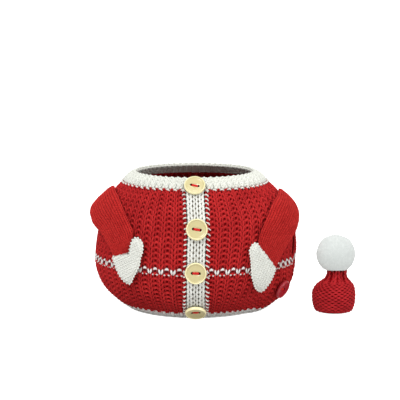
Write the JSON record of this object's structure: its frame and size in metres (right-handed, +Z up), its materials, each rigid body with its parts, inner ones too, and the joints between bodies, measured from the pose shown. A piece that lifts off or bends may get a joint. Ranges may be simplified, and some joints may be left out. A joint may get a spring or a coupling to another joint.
{
  "type": "knitted tea cosy in the form of a buttoned jacket, with its bobble hat",
  "caption": "Ribbed knitted jacket that stands on its hem, open at neck, spout and handle, with collar, button band, sleeves and mittens, and a small bobble hat beside it.",
  "frame": {"origin": "on the surface that jacket and hat stand on, under the middle of the whole set's box", "axes": "+Z up; -Y the jacket's buttoned front; +X from the spout's side to the handle's side, where the hat stands"},
  "size_m": [0.2306, 0.1834, 0.1214],
  "materials": {
    "red_wool": "knitted wool, matt, slightly fuzzy",
    "white_wool": "knitted wool, matt",
    "cream_button": "satin cream plastic",
    "red_button": "glossy deep red plastic"
  },
  "bodies": {
    "root": {"jacket_body": "red_wool", "sleeve_left": "red_wool", "sleeve_right": "red_wool", "hat": "red_wool", "collar": "white_wool", "placket": "white_wool", "mitten_left": "white_wool", "mitten_right": "white_wool", "pompom": "white_wool", "button_1": "cream_button", "button_2": "cream_button", "button_3": "cream_button", "button_4": "cream_button", "closure_button": "red_button"}
  },
  "joints": []
}
